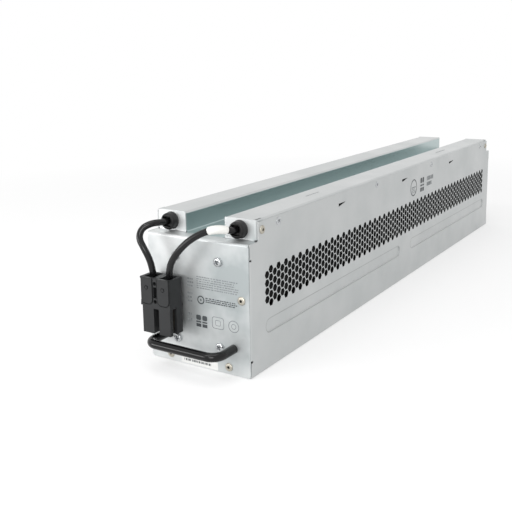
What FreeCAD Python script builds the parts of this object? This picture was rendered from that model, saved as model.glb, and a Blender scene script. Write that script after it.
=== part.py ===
"""Battery cartridge for the power supply of a data centre.

A long folded steel case holds eight lead batteries in a row. A hat-shaped cover makes two
raised rails over the battery terminals. Two cables leave the front through strain reliefs
and end in a two-pole power connector above a fixed rod handle.

Frame: X across the case, Y along it with the front at the negative end, Z up. The origin
is the middle of the case's underside. Lengths are in millimetres.
"""

import FreeCAD, Part
import Sketcher
import math
import os
import re

from FreeCAD import Placement, Rotation, Vector

doc = FreeCAD.newDocument("battery_cartridge")

# Driving dimensions, each written once, as (alias, value)
SIZES = [
    # The case
    ("width", 95.0),
    ("length", 600.0),
    ("ledge_height", 103.0),
    ("rail_tall", 16.0),
    ("rail_width", 29.0),
    ("ledge_depth", 12.0),
    ("gauge", 1.0),
    ("bend", 1.0),
    ("fit", 0.1),
    ("wall_drop", 1.5),
    ("wall_setback", 1.1),
    ("wall_notch", 13.2),
    ("panel_lift", 0.4),
    ("panel_inset", 0.5),
    ("panel_corner", 2.7),
    ("tab_drop", 0.2),
    ("end_flange", 10.0),
    ("end_flange_low", 14.0),
    ("end_flange_drop", 13.0),
    ("foot_flange", 12.0),
    ("foot_flange_inset", 4.5),
    ("relief", 1.5),
    ("tab_flange", 8.5),
    ("cover_flange", 14.0),
    ("cover_notch", 21.0),
    # The vents and the stiffening beads in the side walls
    ("vent_pitch", 6.5),
    ("vent_flats", 5.6),
    ("vent_rows", 5),
    ("vent_low", 52.2),
    ("vent_front", 24.2),
    ("vent_rear", 29.0),
    ("bead_low", 29.2),
    ("bead_tall", 10.5),
    ("bead_deep", 0.8),
    ("bead_end", 22.0),
    ("bead_gap", 30.0),
    # Fasteners, each by its radii and lengths
    ("rivet_head", 3.3),
    ("rivet_crown", 2.2),
    ("rivet_rise", 1.1),
    ("rivet_shank", 1.6),
    ("rivet_tail", 1.8),
    ("foot_rivet_side", 27.7),
    ("foot_rivet_up", 6.0),
    ("flange_rivet_inset", 7.3),
    ("flange_rivet_up", 60.0),
    ("tab_rivet_back", 6.3),
    ("axis_rise", 8.0),
    ("pan_head", 3.5),
    ("pan_crown", 2.4),
    ("pan_rise", 2.3),
    ("pan_shank", 2.0),
    ("pan_long", 8.0),
    ("pan_side", 20.0),
    ("pan_low", 20.4),
    ("pan_drop", 16.0),
    ("flat_head", 2.8),
    ("flat_shank", 1.5),
    ("flat_long", 5.0),
    ("flat_drop", 6.0),
    ("flat_end", 42.0),
    ("flat_middle", 75.0),
    ("slot_drop", 12.0),
    ("slot_step", 146.5),
    ("slot_long", 4.8),
    ("slot_tall", 2.4),
    ("hole_play", 0.1),
    # The stop behind the front panel
    ("stop_width", 52.0),
    ("stop_deep", 10.0),
    ("stop_low", 28.0),
    ("stop_drop", 24.0),
    ("stop_lip", 15.0),
    # The handle
    ("handle_span", 65.0),
    ("handle_reach", 23.0),
    ("handle_up", 21.5),
    ("handle_rod", 3.5),
    ("handle_bend", 9.0),
    ("stud", 2.5),
    ("stud_long", 6.0),
    ("nut_flats", 8.0),
    ("nut_tall", 4.0),
    ("nut_room", 1.0),
    # Batteries, foam and the wiring on top of them
    ("battery_margin", 20.0),
    ("battery_count", 8),
    ("battery_play", 0.4),
    ("battery_side_play", 1.5),
    ("battery_lid", 14.0),
    ("battery_seam", 0.6),
    ("battery_recess", 1.2),
    ("foam_top", 1.0),
    ("foam_play", 0.2),
    ("terminal_inset", 15.3),
    ("terminal_end", 10.0),
    ("blade_wide", 6.3),
    ("blade_thick", 0.8),
    ("blade_tall", 5.6),
    ("clip_wide", 8.0),
    ("clip_thick", 3.4),
    ("clip_tall", 6.2),
    ("clip_lift", 0.3),
    ("link_wire", 1.6),
    ("lead_bend", 6.0),
    ("lead_back", 4.5),
    ("lead_drop", 13.0),
    # Strain reliefs and cables
    ("relief_head", 7.4),
    ("relief_rise", 6.4),
    ("relief_chamfer", 1.4),
    ("relief_body", 6.0),
    ("relief_tail", 9.0),
    ("relief_mouth_wide", 7.4),
    ("relief_mouth_tall", 8.2),
    ("relief_mouth_deep", 4.0),
    ("relief_lip", 6.7),
    ("cable", 2.6),
    ("cable_start", 4.6),
    ("sleeve", 3.7),
    # The two-pole connector, from its lower front left corner
    ("plug_inset", 8.0),
    ("plug_reach", 20.0),
    ("plug_low", 28.8),
    ("plug_wide", 28.6),
    ("plug_thick", 15.0),
    ("plug_tall", 44.0),
    ("plug_nose", 21.4),
    ("plug_inset_left", 1.6),
    ("plug_inset_right", 0.3),
    ("plug_web", 1.4),
    ("plug_gap", 5.0),
    ("plug_gap_tall", 20.0),
    ("plug_face_wall", 3.2),
    ("plug_slot", 4.6),
    ("plug_slot_tall", 20.6),
    ("plug_cavity_wide", 9.2),
    ("plug_cavity_thick", 11.2),
    ("plug_cavity_deep", 13.0),
    ("plug_bore", 3.2),
    ("plug_pin_hole", 1.5),
    ("plug_pin_low", 25.6),
    ("plug_pin_high", 39.8),
    ("plug_window_wide", 3.0),
    ("plug_window_tall", 8.6),
    ("plug_window_deep", 7.0),
    ("plug_waist", 0.6),
    ("plug_pad_low", 23.4),
    ("plug_pad_wide", 10.9),
    ("plug_pad_inset", 0.9),
    ("plug_pad_rise", 0.5),
    ("plug_pad_corner", 3.6),
    ("plug_mark", 1.1),
    ("plug_mark_rise", 0.3),
    ("plug_mark_up", 36.0),
    ("contact_barrel", 3.1),
    ("contact_rise", 4.0),
    ("contact_wide", 7.0),
    ("contact_thick", 1.6),
    ("contact_tip", 2.0),
    ("spring_thick", 0.6),
    ("spring_short", 3.0),
]

sizes = doc.addObject("Spreadsheet::Sheet", "sizes")
for row, (alias, value) in enumerate(SIZES, start=1):
    sizes.set(f"A{row}", alias)
    sizes.set(f"B{row}", str(value))
    sizes.setAlias(f"B{row}", alias)
doc.recompute()

# Heights and places that follow from the driving dimensions
WORKED = {
    "rail_height": "(ledge_height + rail_tall)",
    "rail_axis": "(ledge_height + axis_rise)",
    "end_flange_high": "(ledge_height - end_flange_drop)",
    "flange_rivet_side": "(width / 2 - flange_rivet_inset)",
    "pan_high": "(ledge_height - pan_drop)",
    "flat_up": "(rail_height - flat_drop)",
    "slot_up": "(rail_height - slot_drop)",
    "stop_high": "(ledge_height - stop_drop)",
    "battery_pitch": "((length - 2 * battery_margin) / battery_count)",
    "terminal_side": "(width / 2 - terminal_inset)",
    "terminal_offset": "(battery_pitch / 2 - terminal_end)",
    "lead_low": "(ledge_height - lead_drop)",
    "plug_left": "(plug_inset - width / 2)",
    "plug_front": "(-length / 2 - plug_reach)",
}

ALIAS = re.compile(r"\b(" + "|".join(alias for alias, _ in SIZES) + r")\b")
WORKED_NAME = re.compile(r"\b(" + "|".join(WORKED) + r")\b")


def bound(text):
    """The expression that reads the sheet, from one written with the names above."""
    spelled = str(text)
    while WORKED_NAME.search(spelled):
        spelled = WORKED_NAME.sub(lambda name: WORKED[name[0]], spelled)
    return ALIAS.sub(r"sizes.\1", spelled)


def size(name):
    """The present value of a driving dimension, or of one that follows from them."""
    return float(sizes.evalExpression(bound(name)))


# Objects whose sizes and places are expressions of the sheet
TURNS = {
    "+z": Rotation(),
    "-y": Rotation(Vector(1, 0, 0), 90),
    "+y": Rotation(Vector(1, 0, 0), -90),
}


def primitive(kind, name, lengths, at, axis="+z"):
    thing = doc.addObject(kind, name)
    thing.Placement = Placement(Vector(), TURNS[axis])
    for prop, text in lengths.items():
        thing.setExpression(prop, bound(text))
    for letter, text in zip("xyz", at):
        thing.setExpression("Placement.Base." + letter, bound(text))
    return thing


def block(name, across, along, up):
    """A box between two expressions on each axis."""
    spans = zip(("Length", "Width", "Height"), (across, along, up))
    lengths = {prop: f"({high}) - ({low})" for prop, (low, high) in spans}
    return primitive("Part::Box", name, lengths, (across[0], along[0], up[0]))


def rod(name, radius, long, at, axis):
    return primitive("Part::Cylinder", name, {"Radius": radius, "Height": long}, at, axis)


def cone(name, first, last, long, at, axis):
    lengths = {"Radius1": first, "Radius2": last, "Height": long}
    return primitive("Part::Cone", name, lengths, at, axis)


def prism(name, corners, radius, long, at, axis):
    lengths = {"Polygon": corners, "Circumradius": radius, "Height": long}
    return primitive("Part::Prism", name, lengths, at, axis)


def joined(name, pieces):
    fuse = doc.addObject("Part::MultiFuse", name)
    fuse.Shapes = pieces
    fuse.Refine = True
    return fuse


def grouped(name, pieces):
    group = doc.addObject("Part::Compound", name)
    group.Links = pieces
    return group


def without(name, base, tools):
    cut = doc.addObject("Part::Cut", name)
    cut.Base = base
    cut.Tool = tools[0] if len(tools) == 1 else grouped(name + "_tools", tools)
    cut.Refine = True
    return cut


def made(name, shape):
    """A sheet or tube whose arcs are worked out from the sizes."""
    feature = doc.addObject("Part::Feature", name)
    feature.Shape = shape
    feature.Placement = Placement()
    return feature


def copies(name, pattern, places):
    """Copies of one object as a single node, at the given placements."""
    doc.recompute()
    return made(name, Part.makeCompound([pattern.Shape.transformed(p.Matrix, True) for p in places]))


# Sheet values that every folded piece reads
X = Vector(1, 0, 0)
Y = Vector(0, 1, 0)
Z = Vector(0, 0, 1)
gauge = size("gauge")
bend = size("bend")
fit = size("fit")
fold = gauge + bend
side = size("width") / 2
front = -size("length") / 2
ledge = size("ledge_height")
rail = size("rail_height")
lined = side - gauge - fit
channel = lined + fit + gauge - size("rail_width")
tab = front + size("ledge_depth")
axis_up = size("rail_axis")
hole_play = size("hole_play")
rivet_hole = size("rivet_shank") + hole_play
nut_clear = size("nut_flats") / 2 / math.cos(math.pi / 6) + size("nut_room")


# Folded sheet and round tube, both drawn along a path with rounded corners
def rounded_path(points, radii):
    """Straight edges joined by tangent arcs of the given radii."""
    edges = []
    here = points[0]
    for before, corner, after, radius in zip(points, points[1:], points[2:], radii):
        inward = (corner - before).normalize()
        onward = (after - corner).normalize()
        half_turn = inward.getAngle(onward) / 2
        reach = radius * math.tan(half_turn)
        first = corner - inward * reach
        last = corner + onward * reach
        sagitta = radius * (1 / math.cos(half_turn) - 1)
        middle = corner + (onward - inward).normalize() * sagitta
        if (first - here).Length > Part.Precision.confusion():
            edges.append(Part.LineSegment(here, first).toShape())
        edges.append(Part.Arc(first, middle, last).toShape())
        here = last
    edges.append(Part.LineSegment(here, points[-1]).toShape())
    return edges


PLANES = {"xz": (X, Z, Y), "yz": (Y, Z, X), "xy": (X, Y, Z)}


def folded(plane, points, start, stop):
    """A strip of sheet folded along a path on one of its faces, with the gauge to its left.

    The strip runs from `start` to `stop` on the axis that `plane` leaves out.
    """
    path = [Vector(a, b, 0) for a, b in points]
    runs = [(q - p).normalize() for p, q in zip(path, path[1:])]
    lefts = [Vector(-run.y, run.x, 0) for run in runs]
    far = [path[0] + lefts[0] * gauge]
    path_radii = []
    far_radii = []
    for corner, left_in, left_out in zip(path[1:], lefts, lefts[1:]):
        far.append(corner + (left_in + left_out) * (gauge / (1 + left_in.dot(left_out))))
        turns_left = left_in.cross(left_out).z > 0
        path_radii.append(fold if turns_left else bend)
        far_radii.append(bend if turns_left else fold)
    far.append(path[-1] + lefts[-1] * gauge)
    right, up, along = PLANES[plane]
    near = [right * p.x + up * p.y + along * start for p in path]
    back = [right * p.x + up * p.y + along * start for p in far[::-1]]
    edges = rounded_path(near, path_radii) + rounded_path(back, far_radii[::-1])
    edges.append(Part.LineSegment(near[-1], back[0]).toShape())
    edges.append(Part.LineSegment(back[-1], near[0]).toShape())
    return Part.Face(Part.Wire(Part.__sortEdges__(edges))).extrude(along * (stop - start))


def slab(across, along, up):
    """A box between two numbers on each axis."""
    low = Vector(across[0], along[0], up[0])
    long = Vector(across[1], along[1], up[1]) - low
    return Part.makeBox(long.x, long.y, long.z, low)


def both_ways(shapes, normal):
    """The shapes and their mirror images across the middle of the part."""
    return shapes + [shape.mirror(Vector(), normal) for shape in shapes]


def one(shapes):
    return shapes[0].multiFuse(shapes[1:]).removeSplitter()


def hole(at, axis, radius):
    """A cutter that goes through the sheets close to a point."""
    reach = 3 * gauge
    return Part.makeCylinder(radius, 2 * reach, at - axis * reach, axis)


def tube(points, radius, radii):
    wire = Part.Wire(rounded_path(points, radii))
    profile = Part.Wire(Part.makeCircle(radius, points[0], points[1] - points[0]))
    return wire.makePipeShell([profile], True, False)


# The places of the fasteners in the end panels and in the rails
face_rivets = [
    Vector(turn * size(across), front, size(up))
    for across, up in (("foot_rivet_side", "foot_rivet_up"), ("flange_rivet_side", "flange_rivet_up"))
    for turn in (-1, 1)
]
tab_rivets = [Vector(turn * side, tab + size("tab_rivet_back"), axis_up) for turn in (-1, 1)]
panel_screws = [
    Vector(turn * size("pan_side"), front, size(up))
    for up in ("pan_low", "pan_high")
    for turn in (-1, 1)
]
relief_places = [Vector(turn * size("terminal_side"), tab, axis_up) for turn in (-1, 1)]
handle_places = [
    Vector(turn * size("handle_span") / 2, front, size("handle_up")) for turn in (-1, 1)
]
cover_screws = [
    Vector(side, turn * along, size("flat_up"))
    for along in (-front - size("flat_end"), size("flat_middle"))
    for turn in (-1, 1)
]


def stadium(low, high, along, across):
    """An upright flat-ended outline with round ends, on the plane x = across."""
    radius = (high - low) / 2
    middle = (high + low) / 2
    start = along[0] + radius
    stop = along[1] - radius
    ends = [
        (Vector(across, start, low), Vector(across, along[0], middle), Vector(across, start, high)),
        (Vector(across, stop, high), Vector(across, along[1], middle), Vector(across, stop, low)),
    ]
    return Part.Wire([
        Part.Arc(*ends[0]).toShape(),
        Part.LineSegment(ends[0][2], ends[1][0]).toShape(),
        Part.Arc(*ends[1]).toShape(),
        Part.LineSegment(ends[1][2], ends[0][0]).toShape(),
    ])


def bead(along, surface):
    """The hollow and the swelling of one stiffening bead, as two plugs with sloping rims."""
    low = size("bead_low")
    high = low + size("bead_tall")
    deep = size("bead_deep")

    def plug(outside, margin):
        outline = stadium(low - margin, high + margin, (along[0] - margin, along[1] + margin), outside)
        form = Part.Face(outline).extrude(-X * deep)
        rim = [edge for edge in form.Edges if abs(edge.BoundBox.XMax - outside + deep) < fit]
        return form.makeChamfer(deep / 2, rim)

    return plug(surface, 0), plug(surface - gauge, 0)


def vents():
    """Rows of hexagons in columns that step by half a pitch, along the whole side wall."""
    pitch = size("vent_pitch")
    column_pitch = pitch * math.cos(math.pi / 6)
    radius = size("vent_flats") / 2 / math.cos(math.pi / 6)
    rows = int(size("vent_rows"))
    columns = int((size("length") - size("vent_front") - size("vent_rear")) / column_pitch) + 1
    corners = [
        Vector(0, radius * math.cos(turn), radius * math.sin(turn))
        for turn in (math.pi / 3 * n for n in range(7))
    ]
    cutter = Part.Face(Part.makePolygon(corners)).extrude(X * 3 * gauge)
    cutters = []
    for column in range(columns):
        shifted = column % 2 == 0
        for row in range(rows - 1 if shifted else rows):
            up = size("vent_low") + (row + shifted / 2) * pitch
            along = front + size("vent_front") + column * column_pitch
            cutters.append(cutter.translated(Vector(side - 2 * gauge, along, up)))
    return Part.makeCompound(cutters)


def latch_slots():
    """Small slots through the side walls and the cover's flanges, where the bay's latches catch."""
    long = size("slot_long")
    low = size("slot_up") - size("slot_tall") / 2
    return both_ways([
        slab((lined - gauge - fit, side + fit), (along - long / 2, along + long / 2),
             (low, low + size("slot_tall")))
        for along in (-size("slot_step"), 0, size("slot_step"))
    ], X)


def chassis():
    """The trough: floor, two side walls, and the flanges that the end panels are riveted to."""
    wall_top = rail - size("wall_drop")
    wall_end = front + size("wall_setback")
    plate = front + gauge
    relief = size("relief")
    low = size("end_flange_low")
    high = size("end_flange_high")
    foot = size("foot_flange")
    foot_side = side - size("foot_flange_inset")
    trough = folded("xz", [(-side, wall_top), (-side, 0), (side, 0), (side, wall_top)],
                    wall_end, -wall_end)
    corner_cuts = both_ways([
        slab((side - fold, side + fit), (wall_end - fit, plate + fold), (low - relief, high + relief)),
        slab((lined - fit, side + fit), (wall_end - fit, front + size("wall_notch")),
             (ledge, rail)),
    ], X)
    corner_cuts.append(slab((-foot_side - relief, foot_side + relief),
                            (wall_end - fit, plate + fold), (-fit, fold)))
    flanges = both_ways([
        folded("xy", [(side - size("end_flange"), plate), (side, plate), (side, plate + 2 * fold)],
               low, high)
    ], X)
    flanges.append(folded("yz", [(plate, foot), (plate, 0), (plate + 2 * fold, 0)],
                          -foot_side, foot_side))
    sheet = one([trough.cut(both_ways(corner_cuts, Y))] + both_ways(flanges, Y))

    bead_end = -front - size("bead_end")
    spans = [(-bead_end, -size("bead_gap") / 2), (size("bead_gap") / 2, bead_end)]
    beads = [bead(span, side) for span in spans]
    sheet = sheet.fuse(both_ways([swelling for _, swelling in beads], X))
    sheet = sheet.cut(both_ways([hollow for hollow, _ in beads], X))

    holes = both_ways([hole(at, Y, rivet_hole) for at in face_rivets], Y)
    holes += both_ways([hole(at, X, rivet_hole) for at in tab_rivets], Y)
    holes += [hole(at, Y, nut_clear) for at in handle_places]
    flat_head = size("flat_head") + hole_play
    flat_shank = size("flat_shank") + hole_play
    sinks = [Part.makeCone(flat_head, flat_shank, gauge, at, -X) for at in cover_screws]
    sheet = sheet.cut(holes + both_ways(sinks, X) + latch_slots())
    return sheet.cut(vents())


def panel_sheet():
    """An end panel with its ledge, two rail tabs and their side flanges, as one folded sheet."""
    half = side - size("panel_inset")
    low = size("panel_lift")
    corner = size("panel_corner")
    tab_top = rail - size("tab_drop")
    middle = tab - bend - fit
    face = Part.makeBox(2 * half, gauge, ledge - fold - low, Vector(-half, front, low))
    feet = [edge for edge in face.Edges
            if edge.BoundBox.ZMax < low + fit and edge.BoundBox.YLength > gauge - fit]
    face = face.makeFillet(corner, feet)
    ledge_strip = folded("yz", [(middle, ledge), (front, ledge), (front, ledge - 2 * fold)],
                         -lined, lined)
    tab_strip = folded("yz", [(tab, tab_top), (tab, ledge), (front + 2 * fold, ledge)],
                       channel, lined - fold)
    flange = folded("xy", [(channel, tab), (lined, tab), (lined, tab + size("tab_flange"))],
                    ledge + size("relief") / 2, tab_top)
    corner_floor = slab((channel, lined), (middle - gauge, tab), (ledge - gauge, ledge))
    tabs = both_ways([tab_strip, flange, corner_floor], X)
    holes = [hole(at, Y, rivet_hole) for at in face_rivets]
    holes += [hole(at, X, rivet_hole) for at in tab_rivets]
    return one([face, ledge_strip] + tabs).cut(holes)


def front_panel():
    """The panel sheet with the holes for the strain reliefs, the stop and the handle."""
    holes = [hole(at, Y, size("relief_body") + hole_play) for at in relief_places]
    holes += [hole(at, Y, size("pan_shank") + hole_play) for at in panel_screws]
    holes += [hole(at, Y, size("stud") + hole_play) for at in handle_places]
    return panel_sheet().cut(holes)


def cover():
    """The hat section: a channel between two rails, with flanges inside the side walls."""
    flange_low = rail - size("cover_flange")
    flange_end = front + size("cover_notch")
    wall_end = tab + gauge + fit
    floor_end = tab - bend
    hat = [(-lined, flange_low), (-lined, rail), (-channel, rail), (-channel, ledge)]
    profile = [(-a, b) for a, b in hat] + hat[::-1]
    narrow = [(math.copysign(lined - fold, a), b) for a, b in profile if abs(a) == lined and b == rail]
    narrow = [narrow[0]] + profile[2:6] + [narrow[1]]
    strips = [
        folded("xz", profile, flange_end, -flange_end),
        folded("xz", narrow, wall_end, -wall_end),
        slab((bend - channel, channel - bend), (floor_end, -floor_end), (ledge - gauge, ledge)),
    ]
    holes = [hole(at - X * gauge, X, size("flat_shank") + hole_play) for at in cover_screws]
    return one(strips).cut(both_ways(holes, X) + latch_slots())


def front_stop():
    """The hat bracket behind the front panel that the foam and the batteries press on."""
    plate = front + gauge
    deep = plate + size("stop_deep")
    low = size("stop_low")
    high = size("stop_high")
    lip = size("stop_lip")
    half = size("stop_width") / 2
    strip = folded("yz", [(plate, high + lip), (plate, high), (deep, high), (deep, low),
                          (plate, low), (plate, low - lip)], -half, half)
    holes = [hole(at, Y, size("pan_shank") + hole_play) for at in panel_screws]
    return strip.cut(holes + [hole(at, Y, nut_clear) for at in handle_places])


def handle():
    """A bent rod whose ends step down to studs that pass through the panel."""
    half = size("handle_span") / 2
    up = size("handle_up")
    reach = front - size("handle_reach")
    path = [Vector(-half, front, up), Vector(-half, reach, up), Vector(half, reach, up),
            Vector(half, front, up)]
    bar = tube(path, size("handle_rod"), [size("handle_bend")] * 2)
    studs = [Part.makeCylinder(size("stud"), size("stud_long"), at, Y) for at in handle_places]
    return one([bar] + studs)


made("chassis", chassis())
made("front_panel", front_panel())
rear = panel_sheet().mirror(Vector(), Y)
made("rear_panel", rear)
made("cover", cover())
made("front_stop", front_stop())
made("handle", handle())


# Fasteners: one pattern of each kind, drawn at the origin with its head towards -Y
def facing(at, away):
    """Puts a fastener at a point with its head turned outwards along an axis."""
    return Placement(at, Rotation(Y * -1, away))


rivet = joined("rivet", [
    cone("rivet_head_form", "rivet_head", "rivet_crown", "rivet_rise", ("0", "0", "0"), "-y"),
    rod("rivet_shank_form", "rivet_shank", "2 * gauge + rivet_tail", ("0", "0", "0"), "+y"),
])
pan_screw = joined("pan_screw", [
    cone("pan_head_form", "pan_head", "pan_crown", "pan_rise", ("0", "0", "0"), "-y"),
    rod("pan_shank_form", "pan_shank", "pan_long", ("0", "0", "0"), "+y"),
])
flat_screw = joined("flat_screw", [
    cone("flat_head_form", "flat_head", "flat_shank", "gauge", ("0", "0", "0"), "+y"),
    rod("flat_shank_form", "flat_shank", "flat_long", ("0", "0", "0"), "+y"),
])
nut = without("nut", prism("nut_form", "6", "nut_flats / 2 / cos(30 deg)", "nut_tall",
                           ("0", "gauge", "0"), "+y"),
              [rod("nut_bore", "stud + hole_play / 2", "nut_tall + 2 * gauge", ("0", "0", "0"), "+y")])


def other_end(places):
    return [Vector(at.x, -at.y, at.z) for at in places]


outwards = [-X if at.x < 0 else X for at in tab_rivets]
copies("front_rivets", rivet, [facing(at, -Y) for at in face_rivets])
copies("rear_rivets", rivet, [facing(at, Y) for at in other_end(face_rivets)])
copies("rail_rivets", rivet, [
    facing(at, away) for row in (tab_rivets, other_end(tab_rivets)) for at, away in zip(row, outwards)
])
copies("panel_screws", pan_screw, [facing(at, -Y) for at in panel_screws])
copies("cover_screws", flat_screw, [
    facing(Vector(turn * at.x, at.y, at.z), X * turn) for at in cover_screws for turn in (-1, 1)
])
copies("handle_nuts", nut, [facing(at, -Y) for at in handle_places])

# Foam that keeps the row of batteries from moving
count = int(size("battery_count"))
row_end = f"{count} * battery_pitch / 2"
block("front_foam", ("-stop_width / 2", "stop_width / 2"),
      ("-length / 2 + gauge + stop_deep + gauge + foam_play", f"battery_play / 2 - {row_end}"),
      ("gauge", "stop_high"))
block("rear_foam", ("end_flange - width / 2", "width / 2 - end_flange"),
      (f"{row_end} - battery_play / 2", "length / 2 - 2 * gauge - rivet_tail - foam_play"),
      ("gauge", "lead_low - 2 * cable"))
block("top_foam", ("rail_width - width / 2 + 2 * gauge", "width / 2 - rail_width - 2 * gauge"),
      (f"battery_play - {row_end}", f"{row_end} - battery_play"),
      ("ledge_height - gauge - foam_top", "ledge_height - gauge"))


# Batteries, drawn as bodies from sketches
def rectangle(body, name, low, high, offset):
    """A sketch of a rectangle on the body's ground plane, its corners held by expressions."""
    sketch = body.newObject("Sketcher::SketchObject", name)
    ground = next(item for item in body.Origin.OriginFeatures if item.Role == "XY_Plane")
    sketch.AttachmentSupport = [(ground, "")]
    sketch.MapMode = "FlatFace"
    sketch.setExpression("AttachmentOffset.Base.z", bound(offset))
    spots = [Vector(-2, -1, 0), Vector(2, -1, 0), Vector(2, 1, 0), Vector(-2, 1, 0)]
    for start, end in zip(spots, spots[1:] + spots[:1]):
        sketch.addGeometry(Part.LineSegment(start, end), False)
    for line, kind in enumerate(("Horizontal", "Vertical", "Horizontal", "Vertical")):
        sketch.addConstraint(Sketcher.Constraint("Coincident", line, 2, (line + 1) % 4, 1))
        sketch.addConstraint(Sketcher.Constraint(kind, line))
    for line, corner in ((0, low), (2, high)):
        for kind, text, start in zip(("DistanceX", "DistanceY"), corner, spots[line]):
            index = sketch.addConstraint(Sketcher.Constraint(kind, -1, 1, line, 1, start))
            sketch.setExpression(f"Constraints[{index}]", bound(text))
    return sketch


def padded(body, name, half_wide, half_long, low, tall, kind="PartDesign::Pad"):
    feature = body.newObject(kind, name)
    feature.Profile = rectangle(body, name + "_outline", (f"-({half_wide})", f"-({half_long})"),
                                (half_wide, half_long), low)
    feature.setExpression("Length", bound(tall))
    body.Tip = feature
    return feature


battery_top = "ledge_height - gauge - foam_top"
battery_half = "width / 2 - gauge - battery_side_play"
battery_long = "battery_pitch / 2 - battery_play / 2"


def battery_middle(index):
    return f"({index - (count - 1) / 2}) * battery_pitch"


def battery(index):
    """A sealed battery: its case, and a lid set in by a seam, with a shallow recess on top."""
    body = doc.addObject("PartDesign::Body", f"battery_{index + 1}")
    padded(body, f"case_{index}", battery_half, battery_long, "gauge",
           f"{battery_top} - battery_lid - gauge")
    padded(body, f"lid_{index}", f"{battery_half} - battery_seam", f"{battery_long} - battery_seam",
           f"{battery_top} - battery_lid", "battery_lid")
    padded(body, f"recess_{index}", f"({battery_half}) / 2", f"({battery_long}) / 3",
           battery_top, "battery_recess", "PartDesign::Pocket")
    body.setExpression("Placement.Base.y", bound(battery_middle(index)))
    return body


def terminal_along(index):
    """Batteries face to and fro, so each pair of neighbours has terminals side by side."""
    sign = "+" if index % 2 == 0 else "-"
    return f"{battery_middle(index)} {sign} terminal_offset"


for index in range(count):
    battery(index)

blades = [
    block(f"blade_{index}_{name}",
          (f"{sign}terminal_side - blade_thick / 2", f"{sign}terminal_side + blade_thick / 2"),
          (f"{terminal_along(index)} - blade_wide / 2", f"{terminal_along(index)} + blade_wide / 2"),
          (battery_top, f"{battery_top} + blade_tall"))
    for index in range(count)
    for name, sign in (("left", "-"), ("right", ""))
]
grouped("battery_terminals", blades)

clip_low = f"{battery_top} + clip_lift"
wire_up = f"{clip_low} + clip_tall / 2"


def clip(name, sign, along):
    """A push-on receptacle over one terminal, and the slot that takes the blade."""
    middle = f"{sign}terminal_side"
    shell = block(name, (f"{middle} - clip_thick / 2", f"{middle} + clip_thick / 2"),
                  (f"{along} - clip_wide / 2", f"{along} + clip_wide / 2"),
                  (clip_low, f"{clip_low} + clip_tall"))
    slot = block(name + "_slot",
                 (f"{middle} - blade_thick / 2 - fit / 2", f"{middle} + blade_thick / 2 + fit / 2"),
                 (f"{along} - blade_wide / 2 - fit", f"{along} + blade_wide / 2 + fit"),
                 (battery_top, f"{battery_top} + blade_tall + fit / 2"))
    return shell, slot


def link(index):
    """A jumper between two neighbours, on the right after even batteries and else on the left."""
    name, sign = (f"right_link_{index // 2 + 1}", "") if index % 2 == 0 else (
        f"left_link_{index // 2 + 1}", "-")
    start = terminal_along(index)
    stop = terminal_along(index + 1)
    first, first_slot = clip(name + "_front_clip", sign, start)
    last, last_slot = clip(name + "_rear_clip", sign, stop)
    wire = rod(name + "_wire", "link_wire", f"({stop}) - ({start}) - clip_wide",
               (f"{sign}terminal_side", f"{start} + clip_wide / 2", wire_up), "+y")
    return without(name, joined(name + "_body", [first, wire, last]), [first_slot, last_slot])


for index in range(count - 1):
    link(index)


# Inner leads, from the cables' ends inside the strain reliefs to the end batteries
pitch = size("battery_pitch")
offset = size("terminal_offset")
lead_side = size("terminal_side")
cable = size("cable")
cable_start = tab + size("cable_start")
top = ledge - gauge - size("foam_top")
lead_up = top + size("clip_lift") + size("clip_tall") / 2
lead_bend = size("lead_bend")
clip_half = size("clip_wide") / 2
first_terminal = offset - (count - 1) / 2 * pitch
last_terminal = (count - 1) / 2 * pitch - offset
turn_back = -tab - size("lead_back")
lead_low = size("lead_low")


def lead(name, points, terminal):
    wire = made(name + "_wire", tube(points, cable, [lead_bend] * (len(points) - 2)))
    shell, slot = clip(name + "_clip", "-", terminal)
    return without(name, joined(name + "_body", [wire, shell]), [slot])


lead("left_lead", [
    Vector(-lead_side, cable_start, axis_up),
    Vector(-lead_side, first_terminal - clip_half - 4 * lead_bend, axis_up),
    Vector(-lead_side, first_terminal - clip_half - lead_bend, lead_up),
    Vector(-lead_side, first_terminal - clip_half, lead_up),
], terminal_along(0))
lead("return_lead", [
    Vector(lead_side, cable_start, axis_up),
    Vector(lead_side, turn_back, axis_up),
    Vector(lead_side, turn_back, lead_low),
    Vector(-lead_side, turn_back, lead_low),
    Vector(-lead_side, turn_back, lead_up),
    Vector(-lead_side, last_terminal + clip_half, lead_up),
], terminal_along(count - 1))


# Strain reliefs in the front tabs
def strain_relief(name, sign):
    """A snap-in bushing: faceted head with a square mouth, and a body with a locking lip."""
    at_side = f"{sign}terminal_side"
    tab_at = "-length / 2 + ledge_depth"
    head_front = (at_side, f"{tab_at} - relief_rise", "rail_axis")
    head = doc.addObject("Part::MultiCommon", name + "_head")
    head.Shapes = [
        prism(name + "_facets", "8", "relief_head", "relief_rise", head_front, "+y"),
        cone(name + "_chamfer", "relief_head - relief_chamfer", "relief_head + relief_chamfer",
             "relief_rise", head_front, "+y"),
    ]
    solid = joined(name + "_solid", [
        head,
        rod(name + "_body", "relief_body", "relief_tail", (at_side, tab_at, "rail_axis"), "+y"),
        cone(name + "_lip", "relief_lip", "relief_body", "relief_tail / 2 - gauge - fit",
             (at_side, f"{tab_at} + gauge + fit", "rail_axis"), "+y"),
    ])
    return without(name, solid, [
        block(name + "_mouth",
              (f"{at_side} - relief_mouth_wide / 2", f"{at_side} + relief_mouth_wide / 2"),
              (f"{tab_at} - 2 * relief_rise", f"{tab_at} - relief_rise + relief_mouth_deep"),
              ("rail_axis - relief_mouth_tall / 2", "rail_axis + relief_mouth_tall / 2")),
        rod(name + "_bore", "cable + fit", "2 * relief_rise + relief_tail",
            (at_side, f"{tab_at} - relief_rise", "rail_axis"), "+y"),
    ])


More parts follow.
